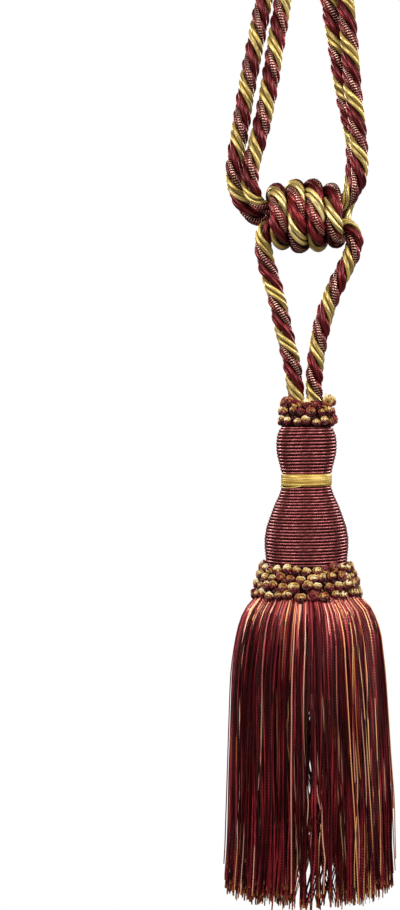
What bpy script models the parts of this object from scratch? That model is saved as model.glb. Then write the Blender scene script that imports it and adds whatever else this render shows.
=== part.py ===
"""A curtain tieback: one twisted rope, looped and knotted, that carries a
wound tassel head with two knotted ruffs and a long cut skirt.

Run with: blender --background --python part.py
The tieback hangs as it does on its hook. The origin is the underside of the
inner loop, where the hook bears, +Z is up and the front faces -Y.
"""
import math
import random

import bmesh
import bpy
import numpy as np
from mathutils import Vector

MM = 0.001                      # the tables below are in millimetres

# Rope: three plies laid together
ROPE_DIAMETER = 9.3
ROPE_LAY = 27.0                 # length of one full turn of a ply
STEPS_A_TURN = 8                # rings modelled along one turn
GROOVE_DEPTH = 0.24             # share of the radius, between two plies
CREST_HALF_ANGLE = 20.0         # degrees, the rounded back of one ply

# Knot: the rope coiled round its own two strands
COIL_PITCH = 9.5
COIL_START_X = -16.0
COIL_CENTRE_Z = -127.2
COIL_RADIUS = 14.7              # to the rope's centre, at the middle turns
COIL_END_DROP = 3.0             # how much tighter the end turns are
COIL_MIDDLE_X = -1.3
COIL_HALF_WIDTH = 15.4
COIL_LEAN = 1.8                 # the turns lean to the left at the bottom
COIL_TIGHTNESS = 0.95           # how far the rope is squeezed in the knot
COIL_FIRST = -0.25              # in half turns of the coil
COIL_LAST = 7.5
COIL_POINTS_A_HALF_TURN = 8

# Loops over the hook: centre x, centre z, half width, height, y at the ends
OUTER_LOOP = dict(x=-0.4, z=-4.4, half=20.4, rise=19.4, y0=-2.6, y1=1.6,
                  first=18.0, points=7)
INNER_LOOP = dict(x=0.15, z=-6.5, half=11.0, rise=11.15, y0=1.8, y1=-1.8,
                  first=25.0, points=5)

# Hand-laid route: x, y (negative is the front), z, tightness
LEFT_LEG = [
    (-4.8, -0.6, -238.0, 0.93), (-5.0, -0.8, -227.0, 0.95),
    (-6.4, -0.9, -214.5, 0.98), (-7.9, 0.0, -204.5, 1.0),
    (-10.3, 0.0, -194.5, 1.0), (-13.0, 0.0, -183.0, 1.0),
    (-15.5, 0.0, -171.5, 1.0), (-18.8, 0.0, -160.0, 1.0),
    (-21.5, 0.0, -151.0, 1.0), (-22.7, -1.0, -143.0, 1.0),
    (-22.3, -2.0, -136.5, 0.95), (-19.6, -1.5, -132.0, 0.78)]
CORE_LEFT_TO_RIGHT = [
    (-15.5, -0.3, -130.6, 0.64), (-8.8, -3.6, -129.5, 0.7),
    (-1.1, -4.6, -127.5, 0.76), (6.6, -3.6, -125.3, 0.7),
    (13.6, -0.6, -123.4, 0.64)]
RIGHT_FRONT = [
    (19.2, -1.8, -121.4, 0.7), (22.9, -3.4, -117.3, 0.9),
    (26.2, -4.8, -110.8, 1.0), (27.8, -5.4, -102.5, 1.0),
    (27.5, -5.5, -92.0, 1.0), (26.3, -5.2, -78.5, 1.0),
    (24.6, -4.6, -64.0, 1.0), (22.6, -3.8, -38.5, 1.0),
    (20.6, -3.4, -15.0, 1.0), (19.7, -2.9, -4.8, 1.0)]
LEFT_OUTER = [
    (-21.0, 2.0, -5.0, 1.0), (-22.8, 2.2, -15.0, 1.0),
    (-27.0, 2.6, -36.0, 1.0), (-31.9, 2.9, -61.0, 1.0),
    (-34.9, 3.0, -80.0, 1.0), (-37.3, 3.2, -94.5, 1.0),
    (-38.2, 3.6, -105.0, 1.0), (-36.6, 4.6, -114.0, 1.0),
    (-32.8, 6.4, -121.5, 1.0), (-28.6, 9.2, -126.0, 1.0),
    (-23.6, 11.4, -126.9, 1.0), (-19.7, 11.6, -123.8, 0.97)]
RIGHT_BACK = [
    (20.6, 11.0, -120.4, 0.97), (23.6, 9.6, -114.0, 0.99),
    (25.0, 7.2, -106.0, 1.0), (25.6, 5.8, -97.0, 1.0),
    (25.1, 5.3, -86.5, 1.0), (23.1, 5.2, -76.0, 1.0),
    (20.4, 5.2, -64.2, 1.0), (16.2, 4.2, -38.8, 1.0),
    (12.4, 3.0, -15.0, 1.0), (11.3, 2.4, -7.6, 1.0)]
LEFT_INNER = [
    (-11.1, -1.9, -7.6, 1.0), (-12.4, -2.2, -15.0, 1.0),
    (-16.2, -2.6, -37.8, 1.0), (-20.4, -2.8, -64.2, 1.0),
    (-23.9, -3.0, -81.2, 1.0), (-27.0, -3.3, -93.0, 1.0),
    (-29.2, -3.5, -101.4, 1.0), (-29.9, -3.6, -108.3, 1.0),
    (-28.8, -3.4, -114.3, 0.97), (-25.6, -2.4, -118.9, 0.86)]
CORE_TO_RIGHT_LEG = [
    (-20.9, -0.9, -122.0, 0.7), (-15.5, 0.5, -123.6, 0.64),
    (-8.8, 3.6, -125.2, 0.7), (-1.1, 4.6, -127.0, 0.76),
    (6.6, 3.6, -128.9, 0.7), (13.6, 0.6, -130.6, 0.64)]
RIGHT_LEG = [
    (18.8, -0.2, -131.4, 0.72), (22.6, -1.4, -133.4, 0.84),
    (25.0, -1.8, -137.6, 0.97), (25.0, -1.0, -143.4, 1.0),
    (22.2, 0.0, -151.0, 1.0), (17.4, 0.0, -160.5, 1.0),
    (12.6, 0.0, -171.0, 1.0), (8.8, 0.0, -182.5, 1.0),
    (6.2, 0.0, -194.5, 1.0), (4.6, 0.2, -206.5, 0.97),
    (4.0, 0.9, -217.5, 0.95), (4.2, 0.9, -227.0, 0.94),
    (5.0, 0.6, -238.0, 0.93)]

# Head: radius and height of the wound body's outline
HEAD_SIDES = 32
HEAD_OUTLINE = [
    (14.4, -238.4), (15.2, -240.2), (15.9, -245.5), (15.9, -250.8),
    (15.5, -253.8), (14.6, -257.2), (13.8, -260.2), (13.4, -262.6),
    (11.6, -262.9), (11.6, -270.1), (13.4, -270.4), (14.8, -275.0),
    (17.2, -280.0), (19.4, -285.9), (21.4, -291.6), (22.4, -297.5),
    (22.4, -302.5), (21.7, -309.4), (21.7, -328.6)]

# Band at the waist
BAND_SIDES = 32
BAND_OUTLINE = [
    (11.9, -263.3), (13.2, -263.4), (13.6, -264.6), (13.3, -266.4),
    (13.6, -268.4), (13.3, -269.7), (11.9, -269.8)]

# Ruffs: rows of thread knots, radius at the knot and height
TOP_RUFF_HOLE = 10.2
TOP_RUFF_KNOTS = 16
TOP_RUFF_ROWS = [(13.6, -226.4), (14.8, -231.0), (14.9, -235.6)]
TOP_RUFF_EDGES = (-223.6, -238.1)
BOTTOM_RUFF_HOLE = 22.1
BOTTOM_RUFF_KNOTS = 28
BOTTOM_RUFF_ROWS = [(24.9, -312.4), (26.4, -316.9), (28.0, -321.2),
                    (28.7, -325.8)]
BOTTOM_RUFF_EDGES = (-310.0, -328.6)
KNOT_HEIGHT = 1.3               # from the gap between knots to a knot's top

# Where the small ruff stands uneven: row, angle, outward, upward
TOP_RUFF_LUMPS = [(0, -35.0, 1.6, 3.0), (0, -12.0, 1.2, 2.2),
                  (2, 0.0, 1.8, 0.4), (0, 160.0, 0.8, 0.8)]
LUMP_REACH = 16.0               # degrees

# Skirt: a narrow root strip and the locks that hang from it
SKIRT_TOP = -328.9
SKIRT_ROOT = -332.0
SKIRT_HOLE = 17.0
LOCK_ROWS = [(29.2, 25.3), (25.3, 21.4)]
LOCKS_A_ROW = 66
LOCK_ROOT_GAP = 0.28            # clear strip round each lock's root
LOCK_SIDE_GAP = 0.75            # between neighbours, at the ends
ROW_SPACING = 4.6               # between the rows, at the ends
LOCK_DEPTH = 2.9
LOCK_END_SPREAD = 5.0
LOCK_STRAY = 0.22
STAGGER_RATE = 8.0              # how soon the inner row stands between the outer locks
# Outer radius of the skirt at each level from the root down, and how far
# it hangs to the right there
SKIRT_LEVELS = [(29.2, -332.0, 0.0), (34.4, -335.6, 1.0), (38.9, -350.0, 1.4),
                (42.0, -378.0, 1.8), (46.0, -477.0, 2.2)]
SEED = 11

COLOURS = {
    "rope": (0.18, 0.03, 0.04), "head": (0.22, 0.04, 0.05),
    "band": (0.60, 0.42, 0.12), "ruff": (0.45, 0.25, 0.10),
    "skirt": (0.20, 0.02, 0.03)}


def clear_scene():
    for item in list(bpy.data.objects):
        bpy.data.objects.remove(item, do_unlink=True)


def make_material(name, colour, roughness):
    material = bpy.data.materials.new(name)
    material.use_nodes = True
    shader = material.node_tree.nodes["Principled BSDF"]
    shader.inputs["Base Color"].default_value = (*colour, 1.0)
    shader.inputs["Roughness"].default_value = roughness
    shader.inputs["Metallic"].default_value = 0.0
    return material


def finish_object(name, mesh_data, colour, roughness=0.55):
    """Turn a bmesh in millimetres into a smooth-shaded object in metres."""
    bmesh.ops.scale(mesh_data, vec=Vector((MM, MM, MM)), verts=mesh_data.verts)
    bmesh.ops.recalc_face_normals(mesh_data, faces=mesh_data.faces)
    mesh = bpy.data.meshes.new(name)
    mesh_data.to_mesh(mesh)
    mesh_data.free()
    mesh.shade_smooth()
    mesh.set_sharp_from_angle(angle=math.radians(50.0))
    mesh.materials.append(make_material(name + "_yarn", colour, roughness))
    item = bpy.data.objects.new(name, mesh)
    bpy.context.collection.objects.link(item)
    return item


def loop_points(loop):
    """Points over the hook, from the loop's right side to its left."""
    points = []
    for step in range(loop["points"]):
        share = step / (loop["points"] - 1)
        angle = math.radians(loop["first"] + share * (180.0 - 2.0 * loop["first"]))
        points.append((loop["x"] + loop["half"] * math.cos(angle),
                       loop["y0"] + share * (loop["y1"] - loop["y0"]),
                       loop["z"] + loop["rise"] * math.sin(angle), 1.0))
    return points


def coil_points():
    """The knot's turns, down the front and up the back, from left to right."""
    points = []
    step_count = round((COIL_LAST - COIL_FIRST) * COIL_POINTS_A_HALF_TURN)
    for step in range(step_count + 1):
        turn = math.pi * (COIL_FIRST + step / COIL_POINTS_A_HALF_TURN)
        x = COIL_START_X + COIL_PITCH * turn / math.tau
        x -= COIL_LEAN * (1.0 - math.cos(turn)) / 2.0
        aside = min(1.0, abs(x - COIL_MIDDLE_X) / COIL_HALF_WIDTH)
        radius = COIL_RADIUS - COIL_END_DROP * aside ** 2.2
        points.append((x, -radius * math.sin(turn),
                       COIL_CENTRE_Z + radius * math.cos(turn), COIL_TIGHTNESS))
    return points


def rope_route():
    """The whole rope, from the tassel's left leg round to its right leg."""
    return (LEFT_LEG + CORE_LEFT_TO_RIGHT + RIGHT_FRONT
            + loop_points(OUTER_LOOP) + LEFT_OUTER + coil_points()
            + RIGHT_BACK + loop_points(INNER_LOOP) + LEFT_INNER
            + CORE_TO_RIGHT_LEG + RIGHT_LEG)


def smooth_route(points, step):
    """Read evenly spaced points from a smooth curve through the route."""
    knots = np.array(points)
    spans = np.linalg.norm(np.diff(knots[:, :3], axis=0), axis=1) ** 0.5
    clock = np.concatenate(([0.0], np.cumsum(spans)))
    slopes = np.diff(knots, axis=0) / spans[:, None]
    tangents = np.vstack((slopes[:1], slopes[-1:]))
    weight = (spans[1:] / (spans[1:] + spans[:-1]))[:, None]
    tangents = np.insert(tangents, 1, slopes[:-1] * weight + slopes[1:] * (1.0 - weight), axis=0)
    dense = []
    for i, span in enumerate(spans):
        for u in np.linspace(0.0, 1.0, 20, endpoint=False):
            dense.append((2 * u**3 - 3 * u**2 + 1) * knots[i]
                         + (u**3 - 2 * u**2 + u) * span * tangents[i]
                         + (3 * u**2 - 2 * u**3) * knots[i + 1]
                         + (u**3 - u**2) * span * tangents[i + 1])
    dense.append(knots[-1])
    dense = np.array(dense)
    lengths = np.linalg.norm(np.diff(dense[:, :3], axis=0), axis=1)
    along = np.concatenate(([0.0], np.cumsum(lengths)))
    count = round(along[-1] / step)
    stations = np.linspace(0.0, along[-1], count + 1)
    columns = [np.interp(stations, along, dense[:, k]) for k in range(4)]
    return np.column_stack(columns), stations


def rope_section():
    """Radius share and angle of the points round the rope's three plies."""
    section = []
    for ply in range(3):
        back = ply * 120.0
        section.append((1.0 - GROOVE_DEPTH, back - 60.0))
        section.append((1.0, back - CREST_HALF_ANGLE))
        section.append((1.0, back + CREST_HALF_ANGLE))
    return [(share, math.radians(angle)) for share, angle in section]


def make_rope():
    """One rope with its left-handed lay raised along its whole length."""
    stations, along = smooth_route(rope_route(), ROPE_LAY / STEPS_A_TURN)
    section = rope_section()
    mesh_data = bmesh.new()
    places = [Vector(row[:3]) for row in stations]
    side = Vector((0.0, -1.0, 0.0))
    rings = []
    for i, place in enumerate(places):
        ahead = places[min(i + 1, len(places) - 1)]
        behind = places[max(i - 1, 0)]
        tangent = (ahead - behind).normalized()
        side = (side - tangent * side.dot(tangent)).normalized()
        other = tangent.cross(side)
        twist = -math.tau * along[i] / ROPE_LAY
        radius = ROPE_DIAMETER / 2.0 * stations[i][3]
        ring = []
        for share, angle in section:
            turned = angle + twist
            offset = side * math.cos(turned) + other * math.sin(turned)
            ring.append(mesh_data.verts.new(place + offset * radius * share))
        rings.append(ring)
    size = len(section)
    for near, far in zip(rings, rings[1:]):
        for k in range(size):
            following = (k + 1) % size
            mesh_data.faces.new((near[k], near[following], far[following], far[k]))
    mesh_data.faces.new(list(reversed(rings[0])))
    mesh_data.faces.new(rings[-1])
    return finish_object("tie_rope", mesh_data, COLOURS["rope"])


def spin_outline(outline, sides, closed):
    """Turn an outline of (radius, height) once round the upright axis."""
    mesh_data = bmesh.new()
    corners = [mesh_data.verts.new((radius, 0.0, z)) for radius, z in outline]
    edges = [mesh_data.edges.new(pair) for pair in zip(corners, corners[1:])]
    if closed:
        edges.append(mesh_data.edges.new((corners[-1], corners[0])))
    bmesh.ops.spin(mesh_data, geom=corners + edges, cent=(0.0, 0.0, 0.0),
                   axis=(0.0, 0.0, 1.0), angle=math.tau, steps=sides,
                   use_merge=True, use_duplicate=False)
    return mesh_data


def make_head():
    """The wound body: bowl, waist and bell, with a spigot for the ruff."""
    mesh_data = spin_outline(HEAD_OUTLINE, HEAD_SIDES, closed=False)
    rims = [edge for edge in mesh_data.edges if edge.is_boundary]
    bmesh.ops.contextual_create(mesh_data, geom=rims)
    bmesh.ops.holes_fill(mesh_data, edges=rims, sides=0)
    return finish_object("wound_head", mesh_data, COLOURS["head"])


def make_band():
    mesh_data = spin_outline(BAND_OUTLINE, BAND_SIDES, closed=True)
    return finish_object("waist_band", mesh_data, COLOURS["band"])


def lump_at(lumps, row, angle):
    """How far a knot stands out and up where the ruff is uneven."""
    outward = upward = 0.0
    for lump_row, lump_angle, out, up in lumps:
        apart = (angle - lump_angle + 180.0) % 360.0 - 180.0
        if lump_row == row and abs(apart) < LUMP_REACH * 1.5:
            share = math.exp(-(apart / LUMP_REACH) ** 2)
            outward += out * share
            upward += up * share
    return outward, upward


def make_ruff(name, hole, knots, rows, edges, lumps):
    """A ring with staggered rows of knots raised in its outer wall."""
    top, bottom = edges
    outline = [(hole, top), (rows[0][0] - KNOT_HEIGHT, top)]
    knot_levels = {}
    for number, (radius, z) in enumerate(rows):
        if number:
            above_radius, above_z = rows[number - 1]
            outline.append(((radius + above_radius) / 2.0 - KNOT_HEIGHT, (z + above_z) / 2.0))
        knot_levels[len(outline)] = number
        outline.append((radius, z))
    outline.append((rows[-1][0] - KNOT_HEIGHT, bottom))
    outline.append((hole, bottom))
    columns = knots * 2
    mesh_data = bmesh.new()
    grid = []
    for column in range(columns):
        angle = math.tau * column / columns
        line = []
        for level, (radius, z) in enumerate(outline):
            if level in knot_levels:
                row = knot_levels[level]
                if (column + row) % 2:
                    radius -= KNOT_HEIGHT
                else:
                    out, up = lump_at(lumps, row, math.degrees(angle))
                    radius += out
                    z += up
            place = (radius * math.cos(angle), radius * math.sin(angle), z)
            line.append(mesh_data.verts.new(place))
        grid.append(line)
    for column in range(columns):
        here, there = grid[column], grid[(column + 1) % columns]
        for level in range(len(outline)):
            after = (level + 1) % len(outline)
            mesh_data.faces.new((here[level], here[after], there[after], there[level]))
    return finish_object(name, mesh_data, COLOURS["ruff"], roughness=0.7)


def lock_place(row, angle, level, length_share, stray):
    """Centre, depth and width of a lock at one level below its root."""
    outer_top = SKIRT_LEVELS[0][1]
    radius, z, shift = SKIRT_LEVELS[level]
    down = (outer_top - z) / (outer_top - SKIRT_LEVELS[-1][1])
    depth = LOCK_DEPTH + 0.4 * down
    spacing = (LOCK_ROWS[0][0] - LOCK_ROWS[1][0]) * (1.0 - down) + ROW_SPACING * down
    middle = radius - spacing * row - depth / 2.0
    z = outer_top + (z - outer_top) * (length_share if level == len(SKIRT_LEVELS) - 1 else 1.0)
    pitch = math.tau * (middle - depth / 2.0) / LOCKS_A_ROW
    gap = LOCK_ROOT_GAP * 2.0 + (LOCK_SIDE_GAP - LOCK_ROOT_GAP * 2.0) * min(1.0, down * 4.0)
    stagger = 0.5 * row * min(1.0, down * STAGGER_RATE)
    angle += stagger * math.tau / LOCKS_A_ROW + stray * down / middle
    return middle, angle, z, depth, pitch - gap, shift


def make_skirt():
    """Two rows of locks drawn down from the underside of one root strip."""
    mesh_data = bmesh.new()
    radii = [LOCK_ROWS[0][0], LOCK_ROWS[1][0], LOCK_ROWS[1][1], SKIRT_HOLE]
    outline = [(radii[0] - 0.6, SKIRT_TOP)]
    outline += [(radius, SKIRT_ROOT) for radius in radii]
    outline += [(SKIRT_HOLE, SKIRT_TOP)]
    columns = []
    for number in range(LOCKS_A_ROW):
        angle = math.tau * number / LOCKS_A_ROW
        columns.append([mesh_data.verts.new((radius * math.cos(angle), radius * math.sin(angle), z))
                        for radius, z in outline])
    root_faces = []
    for number in range(LOCKS_A_ROW):
        here, there = columns[number], columns[(number + 1) % LOCKS_A_ROW]
        for level in range(len(outline)):
            after = (level + 1) % len(outline)
            face = mesh_data.faces.new((here[level], here[after], there[after], there[level]))
            if level - 1 in range(len(LOCK_ROWS)):
                root_faces.append((face, level - 1, (number + 0.5) * math.tau / LOCKS_A_ROW))
    bmesh.ops.recalc_face_normals(mesh_data, faces=mesh_data.faces)
    bmesh.ops.inset_individual(mesh_data, faces=[entry[0] for entry in root_faces],
                               thickness=LOCK_ROOT_GAP, use_even_offset=True)
    chance = random.Random(SEED)
    for face, row, angle in root_faces:
        length_share = 1.0 + chance.uniform(-1.0, 1.0) * LOCK_END_SPREAD / 145.0
        stray = chance.uniform(-1.0, 1.0) * LOCK_STRAY
        shift_above, angle_above = 0.0, angle
        for level in range(1, len(SKIRT_LEVELS)):
            place = lock_place(row, angle, level, length_share, stray)
            face = bmesh.ops.extrude_discrete_faces(mesh_data, faces=[face])["faces"][0]
            shape_lock_end(face, shift_above, angle_above, place)
            shift_above, angle_above = place[-1], place[1]
    return finish_object("skirt", mesh_data, COLOURS["skirt"], roughness=0.45)


def shape_lock_end(face, shift_above, angle_above, place):
    """Set the corners of a lock's lowest face from its place and widths."""
    middle, angle, z, depth, width, shift = place
    reaches = [math.hypot(v.co.x - shift_above, v.co.y) for v in face.verts]
    middle_above = sum(reaches) / len(reaches)
    for corner, reach in zip(face.verts, reaches):
        outer = reach > middle_above
        turned = math.atan2(corner.co.y, corner.co.x - shift_above) - angle_above
        ahead = (turned + math.pi) % math.tau > math.pi
        radius = middle + (depth / 2.0 if outer else -depth / 2.0)
        aside = (width / 2.0 if ahead else -width / 2.0) / (middle - depth / 2.0)
        corner.co = Vector((shift + radius * math.cos(angle + aside),
                            radius * math.sin(angle + aside), z))


def main():
    clear_scene()
    make_rope()
    make_head()
    make_band()
    make_ruff("top_ruff", TOP_RUFF_HOLE, TOP_RUFF_KNOTS, TOP_RUFF_ROWS,
              TOP_RUFF_EDGES, TOP_RUFF_LUMPS)
    make_ruff("bottom_ruff", BOTTOM_RUFF_HOLE, BOTTOM_RUFF_KNOTS,
              BOTTOM_RUFF_ROWS, BOTTOM_RUFF_EDGES, [])
    make_skirt()


main()
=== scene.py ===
import math
import random

import bmesh
import bpy
import numpy as np
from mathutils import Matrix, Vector


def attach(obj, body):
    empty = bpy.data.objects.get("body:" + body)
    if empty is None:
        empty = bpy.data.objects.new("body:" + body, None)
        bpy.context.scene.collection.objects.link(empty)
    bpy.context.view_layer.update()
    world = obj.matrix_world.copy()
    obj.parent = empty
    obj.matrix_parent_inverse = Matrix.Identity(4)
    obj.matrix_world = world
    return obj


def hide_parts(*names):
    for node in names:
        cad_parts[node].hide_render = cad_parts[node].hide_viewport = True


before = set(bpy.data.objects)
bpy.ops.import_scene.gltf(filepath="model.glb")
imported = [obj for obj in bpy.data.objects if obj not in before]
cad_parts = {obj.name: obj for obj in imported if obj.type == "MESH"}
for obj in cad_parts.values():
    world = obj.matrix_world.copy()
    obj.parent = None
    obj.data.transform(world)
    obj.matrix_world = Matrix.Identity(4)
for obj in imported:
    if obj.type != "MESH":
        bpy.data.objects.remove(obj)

mm = 0.001
fullTurn = math.tau
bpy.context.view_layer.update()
collection = bpy.context.scene.collection


def tell(words):
    print("tieback:", words)


# camera

cameraView = {
    "distance": 874.5 * mm,
    "eyeHeight": -233.3 * mm,
    "tilt": 1.32,               # degrees down
    "lens": 65.3,
    "sensor": 36.0,
    "shift": -0.117,
    "near": 10.0 * mm,
    "far": 20.0,
}


def addCamera(view):
    data = bpy.data.cameras.new("studioCamera")
    data.lens = view["lens"]
    data.sensor_width = view["sensor"]
    data.shift_x = view["shift"]
    data.clip_start = view["near"]
    data.clip_end = view["far"]
    camera = bpy.data.objects.new("studioCamera", data)
    camera.location = (0.0, -view["distance"], view["eyeHeight"])
    camera.rotation_euler = (math.radians(90.0 - view["tilt"]), 0.0, 0.0)
    collection.objects.link(camera)
    bpy.context.scene.camera = camera


addCamera(cameraView)
tell("camera ready")


# strands: guide lines swept into closed tubes by Geometry Nodes

sharpFrom = math.radians(70.0)      # edges sharper than this aren't smoothed


def strandSweep(sides):
    tree = bpy.data.node_groups.new("strandSweep%d" % sides, "GeometryNodeTree")
    for flow in ("INPUT", "OUTPUT"):
        tree.interface.new_socket("Geometry", in_out=flow, socket_type="NodeSocketGeometry")
    nodes, link = tree.nodes, tree.links.new
    start = nodes.new("NodeGroupInput")
    end = nodes.new("NodeGroupOutput")
    toCurve = nodes.new("GeometryNodeMeshToCurve")
    ring = nodes.new("GeometryNodeCurvePrimitiveCircle")
    ring.inputs["Resolution"].default_value = sides
    ring.inputs["Radius"].default_value = 1.0
    keepRing = nodes.new("GeometryNodeStoreNamedAttribute")
    keepRing.data_type = "FLOAT_VECTOR"
    keepRing.inputs["Name"].default_value = "around"
    thick = nodes.new("GeometryNodeInputNamedAttribute")
    thick.inputs["Name"].default_value = "thick"
    finish = nodes.new("GeometryNodeInputNamedAttribute")
    finish.data_type = "INT"
    finish.inputs["Name"].default_value = "finish"
    sweep = nodes.new("GeometryNodeCurveToMesh")
    sweep.inputs["Fill Caps"].default_value = True
    paint = nodes.new("GeometryNodeSetMaterialIndex")
    link(start.outputs[0], toCurve.inputs[0])
    link(ring.outputs[0], keepRing.inputs["Geometry"])
    link(nodes.new("GeometryNodeInputPosition").outputs[0], keepRing.inputs["Value"])
    link(toCurve.outputs[0], sweep.inputs["Curve"])
    link(keepRing.outputs[0], sweep.inputs["Profile Curve"])
    link(thick.outputs["Attribute"], sweep.inputs["Scale"])
    link(sweep.outputs[0], paint.inputs["Geometry"])
    link(finish.outputs["Attribute"], paint.inputs["Material Index"])
    link(paint.outputs[0], end.inputs[0])
    return tree


def sweepStrands(name, strands, sides, materials):
    # each strand has its points and thick (radius) in metres, its tone 0-1 and its finish
    guide = bpy.data.meshes.new(name + "Guide")
    counts = [len(strand["points"]) for strand in strands]
    starts = np.concatenate(([0], np.cumsum(counts)[:-1]))
    edges = [(first + i, first + i + 1)
             for first, count in zip(starts.tolist(), counts) for i in range(count - 1)]
    points = np.vstack([strand["points"] for strand in strands])
    guide.from_pydata(points.tolist(), edges, [])
    along, share, thick, tone, wrapped, finish = [], [], [], [], [], []
    for strand, count in zip(strands, counts):
        steps = np.linalg.norm(np.diff(strand["points"], axis=0), axis=1)
        way = np.concatenate(([0.0], np.cumsum(steps)))
        along.append(way + strand.get("start", 0.0))
        share.append(way / way[-1])
        thick.append(np.broadcast_to(strand["thick"], count))
        tone.append(np.broadcast_to(strand["tone"], count))
        wrapped.append(np.broadcast_to(strand.get("wrapped", 0.0), count))
        finish.append(np.full(count, strand.get("finish", 0)))
    for label, rows in (("along", along), ("share", share), ("thick", thick), ("tone", tone),
                        ("wrapped", wrapped)):
        layer = guide.attributes.new(label, "FLOAT", "POINT")
        layer.data.foreach_set("value", np.concatenate(rows).astype(np.float32))
    layer = guide.attributes.new("finish", "INT", "POINT")
    layer.data.foreach_set("value", np.concatenate(finish).astype(np.int32))
    source = bpy.data.objects.new(name + "Guide", guide)
    collection.objects.link(source)
    modifier = source.modifiers.new("sweep", "NODES")
    modifier.node_group = strandSweep(sides)
    depsgraph = bpy.context.evaluated_depsgraph_get()
    mesh = bpy.data.meshes.new_from_object(source.evaluated_get(depsgraph))
    bpy.data.objects.remove(source)
    mesh.name = name
    for material in materials:
        mesh.materials.append(material)
    mesh.shade_smooth()
    mesh.set_sharp_from_angle(angle=sharpFrom)
    piece = bpy.data.objects.new(name, mesh)
    collection.objects.link(piece)
    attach(piece, "root")
    triangles = sum(len(face.vertices) - 2 for face in mesh.polygons)
    tell("%s: %d strands, %d triangles" % (name, len(strands), triangles))
    return piece


def turnedPiece(name, outline, sides, material, closed=False):
    # outline: (radius, height) in millimetres, turned once round the axis
    shape = bmesh.new()
    corners = [shape.verts.new((radius * mm, 0.0, z * mm)) for radius, z in outline]
    edges = [shape.edges.new(pair) for pair in zip(corners, corners[1:])]
    if closed:
        edges.append(shape.edges.new((corners[-1], corners[0])))
    bmesh.ops.spin(shape, geom=corners + edges, cent=(0, 0, 0), axis=(0, 0, 1),
                   angle=fullTurn, steps=sides, use_merge=True, use_duplicate=False)
    if not closed:
        rims = [edge for edge in shape.edges if edge.is_boundary]
        bmesh.ops.holes_fill(shape, edges=rims, sides=0)
    bmesh.ops.recalc_face_normals(shape, faces=shape.faces)
    mesh = bpy.data.meshes.new(name)
    shape.to_mesh(mesh)
    shape.free()
    mesh.materials.append(material)
    mesh.shade_smooth()
    piece = bpy.data.objects.new(name, mesh)
    collection.objects.link(piece)
    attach(piece, "root")
    return piece


# yarn and floss finishes

def mathNode(nodes, link, kind, first, second=None):
    node = nodes.new("ShaderNodeMath")
    node.operation = kind
    for socket, value in zip(node.inputs, (first, second)):
        if value is None:
            continue
        if isinstance(value, (int, float)):
            socket.default_value = value
        else:
            link(value, socket)
    return node.outputs[0]


def rampNode(nodes, link, factor, stops):
    ramp = nodes.new("ShaderNodeValToRGB")
    row = ramp.color_ramp.elements
    while len(row) < len(stops):
        row.new(0.5)
    for element, (place, colour) in zip(row, stops):
        element.position = place
        element.color = (*colour, 1.0)
    link(factor, ramp.inputs["Fac"])
    return ramp.outputs["Color"]


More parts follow.
